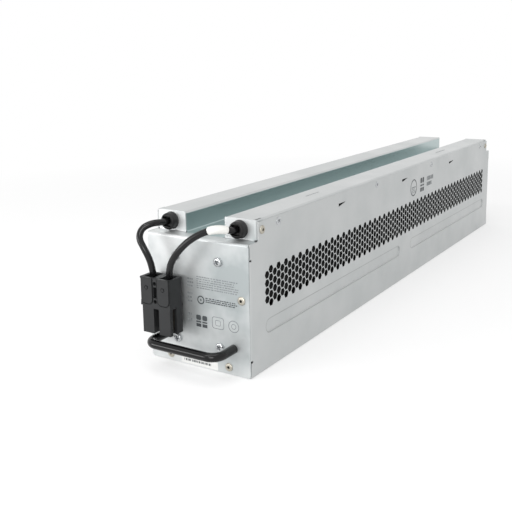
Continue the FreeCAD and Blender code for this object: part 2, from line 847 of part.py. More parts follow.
strain_relief("left_strain_relief", "-")
strain_relief("right_strain_relief", "")

# The connector's housing, in expressions from its lower front left corner
plug_right = "plug_left + plug_wide"
plug_back = "plug_front + plug_thick"
plug_top = "plug_low + plug_tall"
plug_middle = "plug_left + plug_wide / 2"
nose_left = "plug_left + plug_inset_left"
nose_right = "plug_left + plug_wide - plug_inset_right"
nose_middle = "plug_left + plug_wide / 2 + plug_inset_left / 2 - plug_inset_right / 2"
pole_offset = "(plug_gap / 2 + plug_web + fit + contact_wide / 2)"
poles = (("left", "-"), ("right", "+"))
barrel_along = "plug_front + plug_thick / 2"
slot_back = "plug_front + plug_face_wall + plug_slot"
slot_top = "plug_low + plug_slot_tall"
cavity_low = "plug_low + plug_tall - plug_cavity_deep"


def grip_pad(name, left):
    """A raised plate on the housing's face with its two lower corners rounded."""
    face = ("plug_front - plug_pad_rise", "plug_front")
    low = "plug_low + plug_pad_low"
    right = f"{left} + plug_pad_wide"
    corner_at = f"{low} + plug_pad_corner"
    corners = [
        rod(f"{name}_corner_{turn}", "plug_pad_corner", "plug_pad_rise", (at, face[0], corner_at), "+y")
        for turn, at in enumerate((f"{left} + plug_pad_corner", f"{right} - plug_pad_corner"))
    ]
    return corners + [
        block(name + "_upper", (left, right), face, (corner_at, plug_top)),
        block(name + "_lower", (f"{left} + plug_pad_corner", f"{right} - plug_pad_corner"), face,
              (low, corner_at)),
        rod(name + "_mark", "plug_mark", "plug_pad_rise + plug_mark_rise",
            (f"{left} + plug_pad_wide / 2", "plug_front - plug_pad_rise - plug_mark_rise",
             "plug_low + plug_mark_up"), "+y"),
    ]


def connector_housing():
    """A two-pole housing: two open barrels above, two slotted prongs below."""
    solid = joined("housing_solid", [
        block("housing_upper", ("plug_left", plug_right), ("plug_front", plug_back),
              ("plug_low + plug_nose", plug_top)),
        block("housing_nose", (nose_left, nose_right), ("plug_front", plug_back),
              ("plug_low", "plug_low + plug_nose")),
    ] + grip_pad("left_pad", "plug_left + plug_pad_inset")
      + grip_pad("right_pad", f"{plug_right} - plug_pad_inset - plug_pad_wide"))
    waist = "((plug_tall - plug_nose) ^ 2 / 8 / plug_waist + plug_waist / 2)"
    waist_up = "plug_low + plug_nose / 2 + plug_tall / 2"
    through = "3 * plug_thick"
    before = "plug_front - plug_thick"
    cuts = [
        block("pole_gap", (f"{nose_middle} - plug_gap / 2", f"{nose_middle} + plug_gap / 2"),
              (before, f"{plug_back} + plug_thick"), ("plug_low - plug_gap", "plug_low + plug_gap_tall")),
        block("left_slot", ("plug_left - plug_thick", f"{nose_middle} - plug_gap / 2 - plug_web"),
              ("plug_front + plug_face_wall", slot_back), ("plug_low - plug_gap", slot_top)),
        block("right_slot", (f"{nose_middle} + plug_gap / 2 + plug_web", f"{plug_right} + plug_thick"),
              ("plug_front + plug_face_wall", slot_back), ("plug_low - plug_gap", slot_top)),
        block("window", (f"{plug_middle} - plug_window_wide / 2", f"{plug_middle} + plug_window_wide / 2"),
              (before, "plug_front + plug_window_deep"),
              ("plug_low + plug_pin_low / 2 + plug_pin_high / 2 - plug_window_tall / 2",
               "plug_low + plug_pin_low / 2 + plug_pin_high / 2 + plug_window_tall / 2")),
        rod("left_waist", waist, through, (f"plug_left + plug_waist - {waist}", before, waist_up), "+y"),
        rod("right_waist", waist, through,
            (f"{plug_right} - plug_waist + {waist}", before, waist_up), "+y"),
    ]
    for level in ("low", "high"):
        cuts.append(rod(f"pin_hole_{level}", "plug_pin_hole", through,
                        (plug_middle, before, f"plug_low + plug_pin_{level}"), "+y"))
    for name, sign in poles:
        middle = f"{nose_middle} {sign} {pole_offset}"
        cuts.append(block(f"{name}_cavity",
                          (f"{middle} - plug_cavity_wide / 2", f"{middle} + plug_cavity_wide / 2"),
                          (f"{barrel_along} - plug_cavity_thick / 2",
                           f"{barrel_along} + plug_cavity_thick / 2"),
                          (cavity_low, f"{plug_top} + plug_gap")))
        cuts.append(rod(f"{name}_bore", "plug_bore", f"({cavity_low}) - ({slot_top}) + plug_gap",
                        (middle, barrel_along, slot_top), "+z"))
    return without("connector_housing", solid, cuts)


def contact(name, sign):
    """A crimp barrel above a flat blade that lies in the prong's slot."""
    middle = f"{nose_middle} {sign} {pole_offset}"
    blade_back = f"{slot_back} - spring_thick"
    return joined(name + "_contact", [
        rod(name + "_barrel", "contact_barrel", f"({cavity_low}) - ({slot_top}) + contact_rise",
            (middle, barrel_along, slot_top), "+z"),
        block(name + "_tongue", (f"{middle} - contact_wide / 2", f"{middle} + contact_wide / 2"),
              (f"{blade_back} - contact_thick", blade_back),
              ("plug_low + contact_tip", slot_top)),
    ])


def spring(name, sign):
    """A flat spring that presses the blade forwards."""
    middle = f"{nose_middle} {sign} {pole_offset}"
    return block(name + "_spring", (f"{middle} - contact_wide / 2", f"{middle} + contact_wide / 2"),
                 (f"{slot_back} - spring_thick", slot_back),
                 ("plug_low + contact_tip + spring_short", slot_top))


connector_housing()
grouped("connector_contacts", [contact(name, sign) for name, sign in poles])
grouped("connector_springs", [spring(name, sign) for name, sign in poles])

# Free cables: routes chosen by hand, from inside the reliefs to the contacts' barrels
doc.recompute()
left_end, right_end = (
    Vector(item.Shape.BoundBox.Center.x, size("plug_front") + size("plug_thick") / 2,
           item.Shape.BoundBox.ZMax)
    for item in doc.connector_contacts.Links
)
mouths = [at - Y * size("relief_rise") for at in relief_places]
LEFT_ROUTE = [
    Vector(-lead_side, cable_start, axis_up),
    mouths[0] + Vector(0, 1.8, 0),
    mouths[0] + Vector(-0.2, -7.5, 0.9),
    mouths[0] + Vector(-3.6, -14.4, 1.0),
    mouths[0] + Vector(-9.4, -18.8, -2.6),
    left_end + Vector(-10.1, -3.7, 37.4),
    left_end + Vector(-4.6, -4.5, 30.4),
    left_end + Vector(-1.0, -3.1, 22.6),
    left_end + Vector(0.1, -1.5, 14.8),
    left_end + Vector(0, 0, 7.2),
    left_end,
]
RIGHT_ROUTE = [
    Vector(lead_side, cable_start, axis_up),
    mouths[1] + Vector(0, 1.8, 0),
    mouths[1] + Vector(-0.8, -7.4, 1.6),
    mouths[1] + Vector(-6.4, -13.6, 3.4),
    mouths[1] + Vector(-15.7, -16.6, 0.6),
    mouths[1] + Vector(-24.2, -18.8, -4.0),
    right_end + Vector(16.6, -2.5, 37.0),
    right_end + Vector(9.0, -3.1, 29.2),
    right_end + Vector(3.0, -2.5, 20.4),
    right_end + Vector(0, 0, 9.8),
    right_end,
]


def cord_radii(points):
    """The largest arc that the two runs beside each point of a cord allow."""
    radii = []
    for before, corner, after in zip(points, points[1:], points[2:]):
        half_turn = (corner - before).getAngle(after - corner) / 2
        shorter = min((corner - before).Length, (after - corner).Length)
        radii.append(0.45 * shorter / math.tan(half_turn))
    return radii


def cord(name, route):
    radii = cord_radii(route)
    solid = tube(route, cable, radii)
    long = sum(edge.Length for edge in rounded_path(route, radii))
    print(name, "radii", [round(radius) for radius in radii], "length", round(long, 1),
          "volume", round(solid.Volume), "of", round(math.pi * cable ** 2 * long))
    return made(name, solid)


cord("left_cable", LEFT_ROUTE)
cord("right_cable", RIGHT_ROUTE)

# The marker sleeve follows the right cable from the start of its second bend to the start of its fourth
stretch = rounded_path(RIGHT_ROUTE, cord_radii(RIGHT_ROUTE))[3:7]
wire = Part.Wire(stretch)
start = stretch[0].Vertexes[0].Point
along = stretch[0].tangentAt(stretch[0].FirstParameter)
outer, bore = (
    wire.makePipeShell([Part.Wire(Part.makeCircle(radius, start, along))], True, False)
    for radius in (size("sleeve"), cable + fit)
)
made("marker_sleeve", outer.cut(bore))

NODES = [
    "chassis", "front_panel", "rear_panel", "cover", "front_stop", "handle", "handle_nuts",
    "panel_screws", "cover_screws", "front_rivets", "rear_rivets", "rail_rivets",
    "front_foam", "rear_foam", "top_foam", "battery_terminals", "left_lead", "return_lead",
    "left_strain_relief", "right_strain_relief", "connector_housing", "connector_contacts",
    "connector_springs", "left_cable", "right_cable", "marker_sleeve",
]
NODES += [f"battery_{index + 1}" for index in range(count)]
NODES += [item.Name for item in doc.Objects if re.fullmatch(r"(left|right)_link_\d", item.Name)]

doc.recompute()
os.makedirs("parts", exist_ok=True)
for node in NODES:
    item = doc.getObject(node)
    shape = item.Shape
    states = set(item.State) & {"Invalid", "Error"}
    if states or shape.isNull() or not shape.isValid():
        raise RuntimeError(f"{node} did not build: {item.State}")
    shape.exportStep(f"parts/{node}.step")
print(len(NODES), "nodes")
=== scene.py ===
"""The looks of the battery cartridge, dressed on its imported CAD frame, which is in metres."""

import math
import random

import bmesh
import bpy
from mathutils import Matrix, Vector


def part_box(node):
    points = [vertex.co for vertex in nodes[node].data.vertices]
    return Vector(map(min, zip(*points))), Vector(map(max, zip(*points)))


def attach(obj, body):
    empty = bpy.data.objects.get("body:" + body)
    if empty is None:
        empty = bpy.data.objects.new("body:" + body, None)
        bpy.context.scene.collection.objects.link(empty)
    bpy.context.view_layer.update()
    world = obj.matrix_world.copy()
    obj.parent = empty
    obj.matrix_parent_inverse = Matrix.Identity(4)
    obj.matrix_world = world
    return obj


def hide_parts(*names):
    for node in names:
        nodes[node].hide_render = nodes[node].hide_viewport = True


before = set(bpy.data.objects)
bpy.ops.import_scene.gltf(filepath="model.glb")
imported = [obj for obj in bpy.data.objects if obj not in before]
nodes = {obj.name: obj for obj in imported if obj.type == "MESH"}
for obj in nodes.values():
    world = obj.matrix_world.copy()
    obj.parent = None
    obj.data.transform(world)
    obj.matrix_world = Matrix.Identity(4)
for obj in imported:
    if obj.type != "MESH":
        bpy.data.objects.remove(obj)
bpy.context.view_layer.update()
scene = bpy.context.scene
MM = 0.001

# The outer faces of the case in the row's frame, in millimetres
FRONT = -300
WALL = 47.5
RAIL = 119
CABLE = 5.2 * MM
# How far ink stands off the sheet that it is printed on
INK = 0.04 * MM
# How far a cutter stands clear of the face that it cuts, in millimetres
CLEAR = 1


def point(x, y, z):
    """A place given in millimetres, in the row's frame."""
    return Vector((x, y, z)) * MM


def in_scene(name, data):
    """A new object in the scene, from a mesh, curve, camera or lamp."""
    obj = bpy.data.objects.new(name, data)
    scene.collection.objects.link(obj)
    return obj


# The camera stands where the photograph was taken from
CAMERA_AT = point(341.2, -745.4, 238.6)
CAMERA_TURN = math.radians(32.78)
CAMERA_PITCH = math.radians(-10.58)
CAMERA_ROLL = math.radians(-0.94)
CAMERA_LENS = 53.84
CAMERA_SHIFT = -0.117


def stand_camera():
    data = bpy.data.cameras.new("camera")
    data.lens = CAMERA_LENS
    data.shift_y = CAMERA_SHIFT
    camera = in_scene("camera", data)
    turn = Matrix.Rotation(CAMERA_TURN, 4, "Z")
    tilt = Matrix.Rotation(math.pi / 2 + CAMERA_PITCH, 4, "X")
    roll = Matrix.Rotation(CAMERA_ROLL, 4, "Z")
    camera.matrix_world = Matrix.Translation(CAMERA_AT) @ turn @ tilt @ roll
    scene.camera = camera


# Node trees
def linear(hex_colour):
    """An sRGB hex colour as linear RGBA."""
    channels = [int(hex_colour[i:i + 2], 16) / 255 for i in (1, 3, 5)]
    return [c / 12.92 if c <= 0.04045 else ((c + 0.055) / 1.055) ** 2.4 for c in channels] + [1.0]


def add(tree, kind, links=None, inputs=None, **settings):
    """A node with its settings, its inputs' values, and links from other nodes' sockets."""
    node = tree.nodes.new(kind)
    for name, value in settings.items():
        setattr(node, name, value)
    for key, value in (inputs or {}).items():
        node.inputs[key].default_value = linear(value) if isinstance(value, str) else value
    for key, socket in (links or {}).items():
        tree.links.new(socket, node.inputs[key])
    return node


def material(name, **surface):
    """A material with one shader, whose constant values sit on its own sockets."""
    made = bpy.data.materials.new(name)
    made.use_nodes = True
    tree = made.node_tree
    shader = tree.nodes["Principled BSDF"]
    for key, value in surface.items():
        socket = shader.inputs[key.replace("_", " ")]
        socket.default_value = linear(value) if isinstance(value, str) else value
    return made, tree, shader


def per_metre(millimetres):
    """The scale of a texture whose features are that large, on coordinates in metres."""
    return 1 / (millimetres * MM)


# The two colour inputs of a mix node, and its colour output
COLOUR_A, COLOUR_B, MIXED = 6, 7, 2
# The range of the noise that the clouds are spread over
CLOUD_LOW, CLOUD_HIGH = 0.34, 0.66


def grained(name, colour, other, grain, depth, rough, rough_other, cloud, drift=(0, 0, 0), **surface):
    """A surface with a fine grain in its relief and slow clouds in its colour and gloss."""
    made, tree, shader = material(name, **surface)
    place = add(tree, "ShaderNodeTexCoord").outputs["Object"]
    moved = add(tree, "ShaderNodeMapping", {"Vector": place}, inputs={"Location": [d * MM for d in drift]})
    clouds = add(tree, "ShaderNodeTexNoise", {"Vector": moved.outputs["Vector"]},
                 inputs={"Scale": per_metre(cloud), "Detail": 4.0, "Roughness": 0.55})
    fine = add(tree, "ShaderNodeTexNoise", {"Vector": place},
               inputs={"Scale": per_metre(grain), "Detail": 3.0, "Roughness": 0.6})
    spread = add(tree, "ShaderNodeMapRange", {"Value": clouds.outputs["Fac"]},
                 inputs={"From Min": CLOUD_LOW, "From Max": CLOUD_HIGH, "To Min": 0.0, "To Max": 1.0})
    tint = add(tree, "ShaderNodeMix", {"Factor": spread.outputs["Result"]},
               inputs={COLOUR_A: colour, COLOUR_B: other}, data_type="RGBA")
    tree.links.new(tint.outputs[MIXED], shader.inputs["Base Color"])
    gloss = add(tree, "ShaderNodeMapRange", {"Value": spread.outputs["Result"]},
                inputs={"To Min": rough, "To Max": rough_other})
    tree.links.new(gloss.outputs["Result"], shader.inputs["Roughness"])
    relief = add(tree, "ShaderNodeBump", {"Height": fine.outputs["Fac"]},
                 inputs={"Strength": 1.0, "Distance": depth * MM})
    tree.links.new(relief.outputs["Normal"], shader.inputs["Normal"])
    return made


# Electro-galvanised sheet, skin-passed: a satin grey metal with a fine grain and soft clouds
zinc_sheet = grained("zinc_sheet", "#C2C4C4", "#BCBFBF", grain=0.9, depth=0.006, rough=0.34,
                     rough_other=0.42, cloud=45, Metallic=1.0)
# The same zinc round the beads, as a thin, darker line of painted shade along their pressed edges
bead_edge_painted_shade = grained("bead_edge_painted_shade", "#A4A7A7", "#9A9D9D", grain=0.9, depth=0.003, rough=0.3,
                         rough_other=0.36, cloud=20, Metallic=1.0)
# Bare steel on the punched edges of the vents and slots, dull, and darkened further with painted shade of
# the holes
sheared_edge_painted_shade = grained("sheared_edge_painted_shade", "#3E3F40", "#333435", grain=0.4, depth=0.006, rough=0.5,
                        rough_other=0.6, cloud=6, Metallic=1.0)
# How far the front panel's clouds, which are a painted reflection, are moved, in millimetres
PAINTED_REFLECTION_DRIFT = (68, -360, -223)
# The front panel's sheet, passivated to a whiter skin that scatters more light, with strong colour clouds
# that are a painted reflection of the room
panel_sheet = grained("panel_sheet", "#D8DADA", "#A4AAAB", grain=0.9, depth=0.008, rough=0.42,
                      rough_other=0.54, cloud=58, drift=PAINTED_REFLECTION_DRIFT, Metallic=0.78)
# The cover's galvanised sheet is smoother, and neutral grey outside the channel
cover_sheet = grained("cover_sheet", "#C4C6C6", "#BDC0C0", grain=0.7, depth=0.003, rough=0.28,
                      rough_other=0.34, cloud=60, Metallic=1.0)
CHANNEL_HALF = 18.6 * MM


def paint_channel_reflection():
    """Inside the channel the cover is painted a green-blue grey, a painted reflection and shade of the
    rails' walls that face each other.
    """
    tree = cover_sheet.node_tree
    shader = tree.nodes["Principled BSDF"]
    sheet_tone = shader.inputs["Base Color"].links[0].from_socket
    place = add(tree, "ShaderNodeTexCoord").outputs["Object"]
    across = add(tree, "ShaderNodeSeparateXYZ", {"Vector": place})
    aside = add(tree, "ShaderNodeMath", {0: across.outputs["X"]}, operation="ABSOLUTE")
    inside = add(tree, "ShaderNodeMath", {0: aside.outputs[0]}, inputs={1: CHANNEL_HALF},
                 operation="LESS_THAN")
    # The channel's tint is painted reflection and shade, chosen by position
    painted_cast = add(tree, "ShaderNodeMix", {"Factor": inside.outputs[0], COLOUR_A: sheet_tone},
               inputs={COLOUR_B: "#B3C1C1"}, data_type="RGBA")
    tree.links.new(painted_cast.outputs[MIXED], shader.inputs["Base Color"])


paint_channel_reflection()
# Bright zinc plating on the screws: clean highlights over a slight plating texture
bright_zinc = grained("bright_zinc", "#C6C8C9", "#B4B7B9", grain=0.3, depth=0.004, rough=0.24,
                      rough_other=0.34, cloud=3, Metallic=1.0)
# Painted shade in the screws' cross recesses, which read as grey lines
recess_shade = grained("recess_shade", "#A2A5A8", "#96999C", grain=0.3, depth=0.003, rough=0.5,
                       rough_other=0.6, cloud=1, Metallic=1.0)
# Blind rivets of aluminium with a thin warm passivation
rivet_aluminium = grained("rivet_aluminium", "#BFBAAE", "#AFAA9E", grain=0.25, depth=0.004, rough=0.34,
                          rough_other=0.46, cloud=2.5, Metallic=1.0)
# The broken end of a rivet's steel mandrel, painted near black as the shade down in its bore
mandrel_painted_shade = grained("mandrel_painted_shade", "#151312", "#0C0B0A", grain=0.3, depth=0.01, rough=0.6,
                        rough_other=0.75, cloud=1, Specular_IOR_Level=0.2)
# Black powder coating on the rod: deep black with long highlights and a faint orange peel
rod_coating = grained("rod_coating", "#060607", "#09090A", grain=1.6, depth=0.008, rough=0.14,
                      rough_other=0.2, cloud=14, Specular_IOR_Level=0.32)
# Moulded nylon of the strain reliefs: dark, with a semi-gloss skin
relief_nylon = grained("relief_nylon", "#0E0E0F", "#141415", grain=0.5, depth=0.01, rough=0.34,
                       rough_other=0.44, cloud=5, Specular_IOR_Level=0.34)
# Moulded polycarbonate with a spark-eroded texture: a soft charcoal with broad highlights
housing_polycarbonate = grained("housing_polycarbonate", "#232425", "#28292A", grain=0.35, depth=0.012,
                                rough=0.46, rough_other=0.56, cloud=8, Specular_IOR_Level=0.3)
# PVC cable jacket: satin black with faint streaks from extrusion
pvc_jacket = grained("pvc_jacket", "#0D0D0E", "#131314", grain=0.8, depth=0.006, rough=0.2,
                     rough_other=0.28, cloud=7, Specular_IOR_Level=0.32)
# Heat-shrink sleeve of white polyolefin
white_sleeve = grained("white_sleeve", "#DCDCD8", "#D2D2CE", grain=0.6, depth=0.012, rough=0.42,
                       rough_other=0.5, cloud=5)
# Screen-printed ink, a matt dark grey
print_ink = grained("print_ink", "#3C4042", "#484C4E", grain=0.2, depth=0.003, rough=0.5,
                    rough_other=0.6, cloud=3, Specular_IOR_Level=0.3)
# The same ink where its lines are so fine that the metal shows between them
thin_ink = grained("thin_ink", "#74787A", "#84888A", grain=0.2, depth=0.003, rough=0.5,
                   rough_other=0.6, cloud=3, Specular_IOR_Level=0.3)
# White polyester film of the strip below the handle
label_film = grained("label_film", "#DEDEDC", "#D8D8D6", grain=0.5, depth=0.002, rough=0.3,
                     rough_other=0.36, cloud=9)
# ABS battery cases, seen only as darkness behind the vents
battery_abs = grained("battery_abs", "#060606", "#0A0A0A", grain=0.5, depth=0.01, rough=0.6,
                      rough_other=0.7, cloud=12, Specular_IOR_Level=0.2)
# Red insulated jumpers between the batteries
link_sleeving = grained("link_sleeving", "#5A1410", "#66180F", grain=0.6, depth=0.01, rough=0.4,
                        rough_other=0.5, cloud=6)
# Silver-plated copper of the contacts and blades, darkened to a dull grey as painted shade of the recesses
# they sit in
painted_shade_silver = grained("painted_shade_silver", "#7A766E", "#5F5B54", grain=0.3, depth=0.003, rough=0.3,
                       rough_other=0.42, cloud=3, Metallic=1.0)
# Closed-cell foam pads, dark grey with open-looking pores
closed_foam = grained("closed_foam", "#2A2A2B", "#323233", grain=0.9, depth=0.15, rough=0.8,
                      rough_other=0.9, cloud=9)

# The CAD nodes that each material goes on
FINISHES = {
    zinc_sheet: ["chassis", "rear_panel", "front_stop"],
    panel_sheet: ["front_panel"],
    cover_sheet: ["cover"],
    bright_zinc: ["panel_screws", "cover_screws", "handle_nuts"],
    rivet_aluminium: ["front_rivets", "rear_rivets", "rail_rivets"],
    rod_coating: ["handle"],
    relief_nylon: ["left_strain_relief", "right_strain_relief"],
    housing_polycarbonate: ["connector_housing"],
    # The contacts' dull grey carries painted shade of their recesses
    painted_shade_silver: ["connector_contacts", "connector_springs", "battery_terminals"],
    pvc_jacket: ["left_lead", "return_lead"],
    battery_abs: [name for name in nodes if name.startswith("battery_") and name[-1].isdigit()],
    link_sleeving: [name for name in nodes if "_link_" in name],
    closed_foam: ["front_foam", "rear_foam", "top_foam"],
}


def paint(obj, *finishes):
    """Gives an object these materials in place of its own."""
    obj.data.materials.clear()
    for finish in finishes:
        obj.data.materials.append(finish)


def finish_nodes():
    for finish, names in FINISHES.items():
        for name in names:
            paint(nodes[name], finish)


# Corners of a CAD mesh that lie this near each other are one corner
WELD = 0.01 * MM
SHEET_WELD = 0.004 * MM
# The turn between two faces, in degrees, above which the edge between them is sharp
SHARP = 35
RELIEF_SHARP = 32


def welded(name, gap):
    """A CAD node's mesh as a bmesh, with its split corners joined again."""
    work = bmesh.new()
    work.from_mesh(nodes[name].data)
    bmesh.ops.remove_doubles(work, verts=work.verts, dist=gap)
    bmesh.ops.recalc_face_normals(work, faces=work.faces)
    return work


def as_object(name, work):
    """An object with the mesh of a bmesh, which is freed."""
    data = bpy.data.meshes.new(name)
    work.to_mesh(data)
    work.free()
    return in_scene(name, data)


def soften(data, degrees):
    """Shades a mesh smooth, but keeps the edges sharp where its faces turn by more."""
    for face in data.polygons:
        face.use_smooth = True
    data.set_sharp_from_angle(angle=math.radians(degrees))


def mesh_object(name, work, slot, *finishes):
    """Turns a bmesh into a piece that rides on the case, smooth where it isn't creased."""
    bmesh.ops.recalc_face_normals(work, faces=work.faces)
    obj = as_object(name, work)
    soften(obj.data, SHARP)
    for finish in finishes:
        obj.data.materials.append(finish)
    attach(obj, "root")
    return obj


def settle(obj):
    """Puts what the modifiers make into the object's own mesh."""
    ready = bpy.data.meshes.new_from_object(obj.evaluated_get(bpy.context.evaluated_depsgraph_get()))
    obj.modifiers.clear()
    obj.data = ready


def carve(obj, cutter, crossing=False):
    """Takes a cutter's shape out of an object. Crossing says that the cutter's own solids overlap."""
    cut = obj.modifiers.new("cut", "BOOLEAN")
    cut.operation = "DIFFERENCE"
    cut.object = cutter
    cut.use_self = crossing
    settle(obj)
    bpy.data.objects.remove(cutter)


def round_edges(obj, width, segments, degrees):
    """Rounds a moulding's edges, where its faces turn by more than an angle."""
    edges = obj.modifiers.new("edges", "BEVEL")
    edges.width = width * MM
    edges.segments = segments
    edges.limit_method = "ANGLE"
    edges.angle_limit = math.radians(degrees)
    settle(obj)


def circle(steps):
    """Points round the unit circle, as (cosine, sine)."""
    return [(math.cos(turn), math.sin(turn)) for turn in (2 * math.pi * n / steps for n in range(steps))]


# How many points a half and a quarter of a round have, 15 degrees apart
HALF_ROUND = 13
QUARTER_ROUND = 7


def arc(middle, radius, first, count):
    """Points of an arc from an angle onwards, 15 degrees apart."""
    turns = [math.radians(first + 15 * step) for step in range(count)]
    return [Vector(middle) + Vector((math.cos(turn), math.sin(turn))) * radius for turn in turns]


def band(work, first, second):
    """Faces between two closed rows of corners."""
    for index in range(len(first)):
        after = (index + 1) % len(first)
        work.faces.new((first[index], first[after], second[after], second[index]))


def tube(work, loops):
    """Faces along a chain of closed rows, and from the last row back to the first."""
    for low, high in zip(loops, loops[1:] + loops[:1]):
        band(work, low, high)


def slab(work, first, second):
    """A closed solid between two rows of corners."""
    work.faces.new(first)
    work.faces.new(second[::-1])
    for index in range(len(first)):
        after = (index + 1) % len(first)
        work.faces.new((first[index], second[index], second[after], first[after]))


def box_cutter(boxes):
    """A cutter made of boxes, each given by its lowest and highest corner in millimetres."""
    work = bmesh.new()
    for low, high in boxes:
        corners = ((low[0], low[1]), (high[0], low[1]), (high[0], high[1]), (low[0], high[1]))
        slab(work, *([work.verts.new(point(x, y, z)) for x, y in corners] for z in (low[2], high[2])))
    bmesh.ops.recalc_face_normals(work, faces=work.faces)
    return as_object("boxes", work)


def facing(away):
    """The rotation that points a fitting's upright axis in a direction."""
    return away.to_track_quat("Z", "Y").to_matrix().to_4x4()


def lathe(work, profile, at, away, steps=32, finish=0):
    """Turns a profile of (radius, height) in millimetres about an axis that points away from a face."""
    rims = []
    for radius, height in profile:
        spots = [(radius * a, radius * b) for a, b in circle(steps)] if radius else [(0, 0)]
        rims.append([work.verts.new(at + facing(away) @ point(x, y, height)) for x, y in spots])
    for low, high in zip(rims, rims[1:]):
        for step in range(steps):
            after = (step + 1) % steps
            corners = [low[step % len(low)], low[after % len(low)], high[after % len(high)],
                       high[step % len(high)]]
            face = work.faces.new(list(dict.fromkeys(corners)))
            face.material_index = finish


# Free cables, on the routes of the CAD tubes
LEFT_ROUTE = [
    point(-32.2, -283.4, 111.0),
    point(-32.2, -292.6, 111.0),
    point(-32.4, -301.9, 111.9),
    point(-35.8, -308.8, 112.0),
    point(-41.6, -313.2, 108.4),
    point(-42.15, -316.2, 101.2),
    point(-36.65, -317.0, 94.2),
    point(-33.05, -315.6, 86.4),
    point(-31.95, -314.0, 78.6),
    point(-32.05, -312.5, 71.0),
    point(-32.05, -312.5, 63.8),
]
RIGHT_ROUTE = [
    point(32.2, -283.4, 111.0),
    point(32.2, -292.6, 111.0),
    point(31.4, -301.8, 112.6),
    point(25.8, -308.0, 114.4),
    point(16.5, -311.0, 111.6),
    point(8.0, -313.2, 107.0),
    point(0.35, -315.0, 100.8),
    point(-7.05, -315.6, 93.0),
    point(-13.35, -315.0, 84.2),
    point(-17.05, -312.5, 73.6),
    point(-17.05, -312.5, 63.8),
]


def nurbs(name, route, radius=0.0):
    """A smooth curve with the route as its control points, round if it has a radius."""
    data = bpy.data.curves.new(name, "CURVE")
    data.dimensions = "3D"
    data.resolution_u = 16
    spline = data.splines.new("NURBS")
    spline.points.add(len(route) - 1)
    for spot, place in zip(spline.points, route):
        spot.co = (*place, 1)
    spline.order_u = 3
    spline.use_endpoint_u = True
    data.bevel_depth = radius
    data.bevel_resolution = 8
    data.use_fill_caps = radius > 0
    return in_scene(name, data)


def lay_cables():
    """Each free cable as one smooth jacket."""
    cables = {}
    for name, route in (("left_cable", LEFT_ROUTE), ("right_cable", RIGHT_ROUTE)):
        cable = nurbs(name + "_jacket", route, CABLE / 2)
        paint(cable, pvc_jacket)
        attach(cable, "root")
        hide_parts(name)
        cables[name] = cable
    return cables


def centreline(route):
    """Points along the smooth curve of a route, and the distance run at each."""
    guide = nurbs("guide", route)
    mesh = bpy.data.meshes.new_from_object(guide)
    places = [vertex.co.copy() for vertex in mesh.vertices]
    bpy.data.objects.remove(guide)
    bpy.data.meshes.remove(mesh)
    run = [0.0]
    for here, there in zip(places, places[1:]):
        run.append(run[-1] + (there - here).length)
    return places, run


# Where the white sleeve starts and stops, as shares of the right cable's length
SLEEVE_START = 0.19
SLEEVE_STOP = 0.345
SLEEVE_WALL = 0.5 * MM
SLEEVE_LIP = 0.5 * MM


def marker_sleeve():
    """The white sleeve: a shrunk tube around a stretch of the right cable, with rounded ends."""
    places, run = centreline(RIGHT_ROUTE)
    whole = run[-1]
    stretch = [p for p, r in zip(places, run) if SLEEVE_START * whole <= r <= SLEEVE_STOP * whole]
    last = len(stretch) - 1
    outer = CABLE / 2 + SLEEVE_WALL
    profile = [(CABLE / 2, 0), (outer - SLEEVE_LIP, 0)]
    profile += [(outer, index) for index in range(1, last)]
    profile += [(outer - SLEEVE_LIP, last), (CABLE / 2, last)]
    work = bmesh.new()
    loops = []
    for radius, index in profile:
        along = (stretch[min(index + 1, last)] - stretch[max(index - 1, 0)]).normalized()
        across = along.cross(Vector((0, 0, 1))).normalized()
        upright = across.cross(along)
        loops.append([work.verts.new(stretch[index] + (across * a + upright * b) * radius)
                      for a, b in circle(32)])
    tube(work, loops)
    sleeve = mesh_object("marker_tube", work, "sleeve_white", white_sleeve)
    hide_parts("marker_sleeve")
    return sleeve


# Fasteners
def islands(name):
    """The lowest and highest corner of each separate solid of a CAD node."""
    work = welded(name, WELD)
    left = dict.fromkeys(work.verts)
    boxes = []
    while left:
        front = [next(iter(left))]
        del left[front[0]]
        group = list(front)
        while front:
            vertex = front.pop()
            for edge in vertex.link_edges:
                other = edge.other_vert(vertex)
                if other in left:
                    del left[other]
                    front.append(other)
                    group.append(other)
        low = Vector([min(v.co[i] for v in group) for i in range(3)])
        high = Vector([max(v.co[i] for v in group) for i in range(3)])
        boxes.append((low, high))
    work.free()
    return boxes


def outward_places(name, away_of, rise):
    """Where each fastener's head meets the sheet, and the way it faces."""
    places = []
    for low, high in islands(name):
        middle = (low + high) / 2
        away = away_of(middle)
        tip = Vector([high[i] if away[i] > 0 else low[i] if away[i] < 0 else middle[i] for i in range(3)])
        places.append((tip - away * rise, away))
    return places


def forwards(middle):
    return Vector((0, -1, 0))


def backwards(middle):
    return Vector((0, 1, 0))


def sideways(middle):
    return Vector((math.copysign(1, middle.x), 0, 0))


